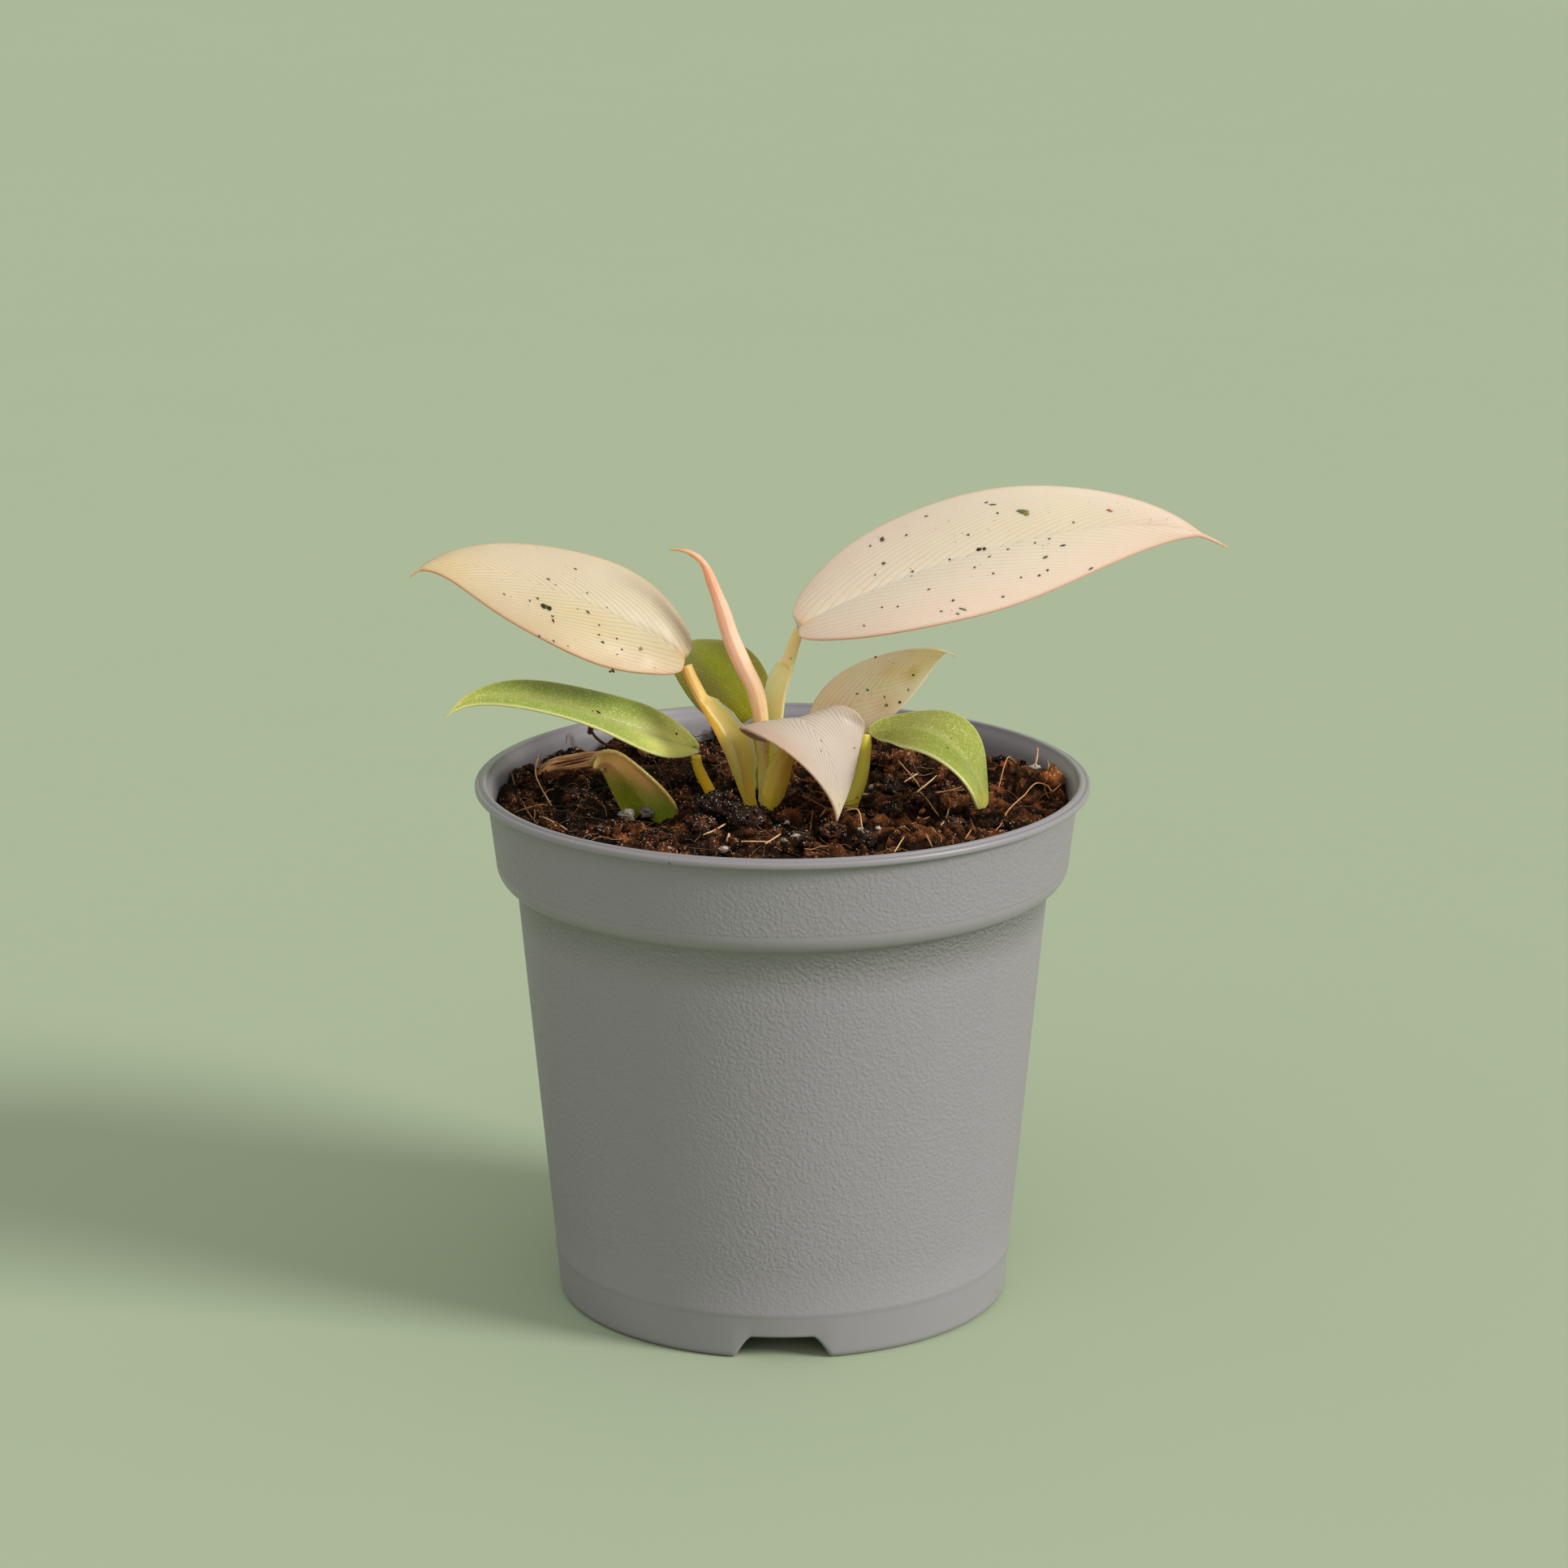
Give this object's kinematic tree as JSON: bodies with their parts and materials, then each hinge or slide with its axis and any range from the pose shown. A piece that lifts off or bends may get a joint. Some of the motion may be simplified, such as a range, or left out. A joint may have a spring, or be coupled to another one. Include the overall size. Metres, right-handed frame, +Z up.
{
  "type": "potted young philodendron",
  "caption": "Young clumping philodendron with pale cream, blush and green lance leaves and a rolled new leaf, rooted in potting mix in a round grey nursery pot.",
  "frame": {"origin": "centre of the pot's base, on the surface that the pot stands on", "axes": "+Z up along the pot's axis, -Y towards the front drainage notch, +X towards the tall right leaf"},
  "size_m": [0.1565, 0.12, 0.162],
  "materials": {
    "pot_plastic": "fine leather grain, satin lip",
    "potting_mix": "loose coir, bark crumb and perlite, matte",
    "husk": "coarse fibrous husk, matte",
    "rootstock": "fleshy, satin",
    "petiole": "smooth living stalk, satin",
    "cream_leaf": "thin living leaf with fine veins, satin",
    "blush_leaf": "thin living leaf with fine veins, satin",
    "green_leaf": "living leaf with a fine sparkle, satin",
    "olive_leaf": "living leaf, satin",
    "new_leaf": "tightly rolled new leaf, satin"
  },
  "bodies": {
    "root": {"pot": "pot_plastic", "potting_mix": "potting_mix", "husk_chip": "husk", "main_rootstock": "rootstock", "offset_rootstock": "rootstock", "young_rootstock": "rootstock", "left_leaf_petiole": "petiole", "right_leaf_petiole": "petiole", "front_leaf_petiole": "petiole", "back_leaf_petiole": "petiole", "low_left_leaf_petiole": "petiole", "low_right_leaf_petiole": "petiole", "rear_right_leaf_petiole": "petiole", "left_leaf_blade": "cream_leaf", "right_leaf_blade": "blush_leaf", "front_leaf_blade": "blush_leaf", "rear_right_leaf_blade": "cream_leaf", "low_left_leaf_blade": "green_leaf", "low_right_leaf_blade": "green_leaf", "back_leaf_blade": "olive_leaf", "young_leaf": "olive_leaf", "spear": "new_leaf"}
  },
  "joints": []
}
